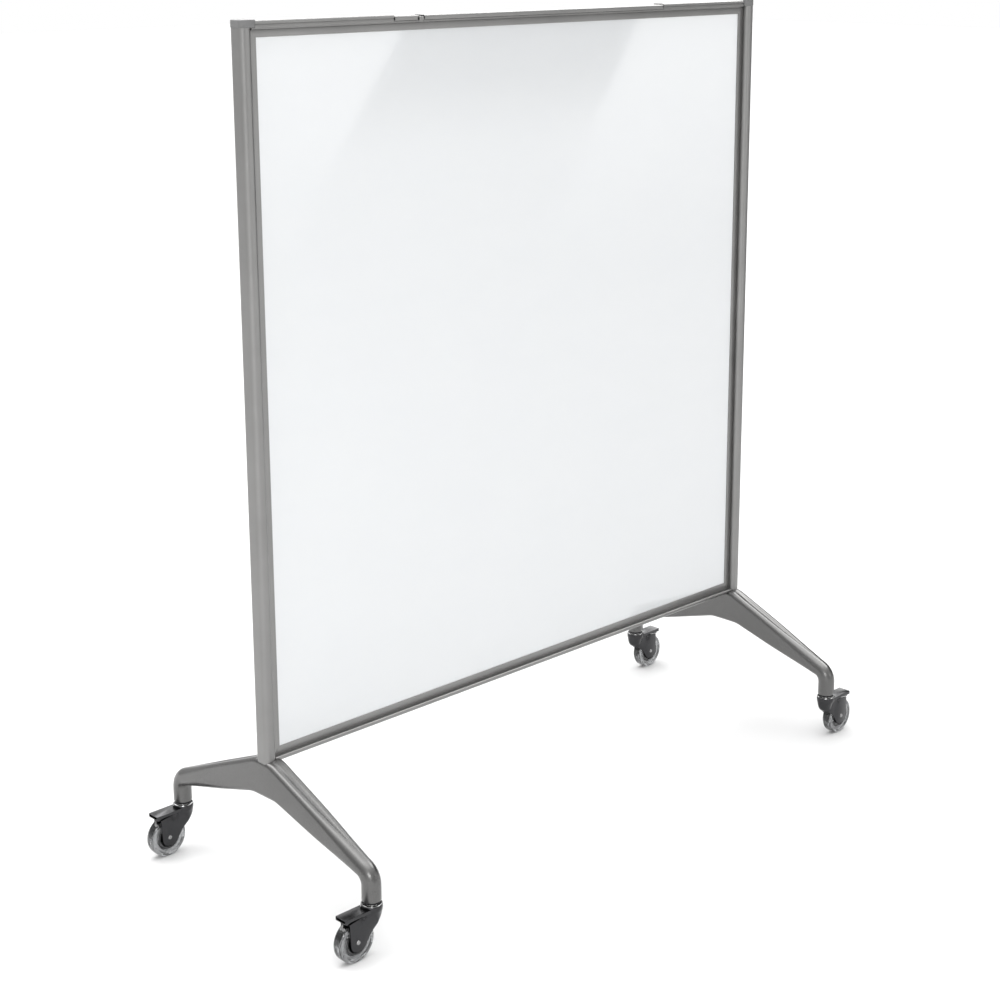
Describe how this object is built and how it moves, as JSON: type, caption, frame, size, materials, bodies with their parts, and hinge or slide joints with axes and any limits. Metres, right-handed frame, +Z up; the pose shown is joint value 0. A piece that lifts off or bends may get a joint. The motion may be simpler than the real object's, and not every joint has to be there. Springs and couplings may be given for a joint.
{
  "type": "rolling whiteboard",
  "caption": "Double-sided rolling whiteboard: slim extruded frame, splayed cast feet, braked swivel casters and a flip-chart pad clamp in the top rail.",
  "frame": {"origin": "on the floor under the middle of the writing panel", "axes": "+X to the right along the board seen from the front, +Y to the back, +Z up; the front writing face looks towards -Y and the wheels trail outwards along X"},
  "size_m": [1.5102, 0.612, 1.626],
  "materials": {
    "silver": "satin silver anodised extrusion",
    "cast_grey": "smooth silver-grey metallic coat on a casting",
    "cap_grey": "fine matte moulded grey",
    "writing": "glossy white dry-erase coating",
    "core": "plain fibreboard",
    "steel": "zinc-plated steel",
    "bolt_black": "blackened steel",
    "gunmetal": "dark glossy metallic plating",
    "black_plastic": "black moulded plastic",
    "black_rubber": "matte black rubber strip",
    "clear_tyre": "clear translucent polyurethane",
    "hub_grey": "smoky see-through grey moulded wheel centre"
  },
  "bodies": {
    "frame": {"left_foot": "cast_grey", "right_foot": "cast_grey", "left_post": "silver", "right_post": "silver", "left_cap": "cap_grey", "right_cap": "cap_grey", "top_rail": "silver", "bottom_rail": "silver", "panel_core": "core", "front_skin": "writing", "rear_skin": "writing", "corner_keys": "steel", "foot_bolts": "bolt_black", "caster_stems": "steel", "swivel_seals": "black_plastic", "swivel_bearings": "steel"},
    "pad_clamp": {"clamp_bar": "silver", "clamp_lever": "silver", "clamp_shaft": "steel", "clamp_grip": "black_rubber"},
    "front_left_caster": {"front_left_fork": "gunmetal", "front_left_axle": "steel", "front_left_pedal_pin": "steel"},
    "front_left_wheel": {"front_left_tyre": "clear_tyre", "front_left_wheel_hub": "hub_grey", "front_left_wheel_bearings": "steel"},
    "front_left_brake": {"front_left_brake_pedal": "gunmetal"},
    "front_right_caster": {"front_right_fork": "gunmetal", "front_right_axle": "steel", "front_right_pedal_pin": "steel"},
    "front_right_wheel": {"front_right_tyre": "clear_tyre", "front_right_wheel_hub": "hub_grey", "front_right_wheel_bearings": "steel"},
    "front_right_brake": {"front_right_brake_pedal": "gunmetal"},
    "rear_left_caster": {"rear_left_fork": "gunmetal", "rear_left_axle": "steel", "rear_left_pedal_pin": "steel"},
    "rear_left_wheel": {"rear_left_tyre": "clear_tyre", "rear_left_wheel_hub": "hub_grey", "rear_left_wheel_bearings": "steel"},
    "rear_left_brake": {"rear_left_brake_pedal": "gunmetal"},
    "rear_right_caster": {"rear_right_fork": "gunmetal", "rear_right_axle": "steel", "rear_right_pedal_pin": "steel"},
    "rear_right_wheel": {"rear_right_tyre": "clear_tyre", "rear_right_wheel_hub": "hub_grey", "rear_right_wheel_bearings": "steel"},
    "rear_right_brake": {"rear_right_brake_pedal": "gunmetal"}
  },
  "joints": [
    {"name": "front_left_swivel", "type": "hinge", "parent": "frame", "child": "front_left_caster", "pos_m": [-0.6721, -0.286, 0.093], "axis": [0, 0, 1], "continuous": true},
    {"name": "front_left_roll", "type": "hinge", "parent": "front_left_caster", "child": "front_left_wheel", "pos_m": [-0.7153, -0.286, 0.0398], "axis": [0, 1, 0], "continuous": true},
    {"name": "front_left_brake_press", "type": "hinge", "parent": "front_left_caster", "child": "front_left_brake", "pos_m": [-0.7021, -0.286, 0.0813], "axis": [0, -1, 0], "range_deg": [0, 8]},
    {"name": "front_right_swivel", "type": "hinge", "parent": "frame", "child": "front_right_caster", "pos_m": [0.6721, -0.286, 0.093], "axis": [0, 0, 1], "continuous": true},
    {"name": "front_right_roll", "type": "hinge", "parent": "front_right_caster", "child": "front_right_wheel", "pos_m": [0.7153, -0.286, 0.0398], "axis": [0, 1, 0], "continuous": true},
    {"name": "front_right_brake_press", "type": "hinge", "parent": "front_right_caster", "child": "front_right_brake", "pos_m": [0.7021, -0.286, 0.0813], "axis": [0, 1, 0], "range_deg": [0, 8]},
    {"name": "rear_left_swivel", "type": "hinge", "parent": "frame", "child": "rear_left_caster", "pos_m": [-0.6721, 0.286, 0.093], "axis": [0, 0, 1], "continuous": true},
    {"name": "rear_left_roll", "type": "hinge", "parent": "rear_left_caster", "child": "rear_left_wheel", "pos_m": [-0.7153, 0.286, 0.0398], "axis": [0, 1, 0], "continuous": true},
    {"name": "rear_left_brake_press", "type": "hinge", "parent": "rear_left_caster", "child": "rear_left_brake", "pos_m": [-0.7021, 0.286, 0.0813], "axis": [0, -1, 0], "range_deg": [0, 8]},
    {"name": "rear_right_swivel", "type": "hinge", "parent": "frame", "child": "rear_right_caster", "pos_m": [0.6721, 0.286, 0.093], "axis": [0, 0, 1], "continuous": true},
    {"name": "rear_right_roll", "type": "hinge", "parent": "rear_right_caster", "child": "rear_right_wheel", "pos_m": [0.7153, 0.286, 0.0398], "axis": [0, 1, 0], "continuous": true},
    {"name": "rear_right_brake_press", "type": "hinge", "parent": "rear_right_caster", "child": "rear_right_brake", "pos_m": [0.7021, 0.286, 0.0813], "axis": [0, 1, 0], "range_deg": [0, 8]},
    {"name": "clamp_turn", "type": "hinge", "parent": "frame", "child": "pad_clamp", "pos_m": [0, 0.008, 1.6172], "axis": [-1, 0, 0], "range_deg": [0, 30], "stiffness_Nm_per_rad": 0.2}
  ]
}
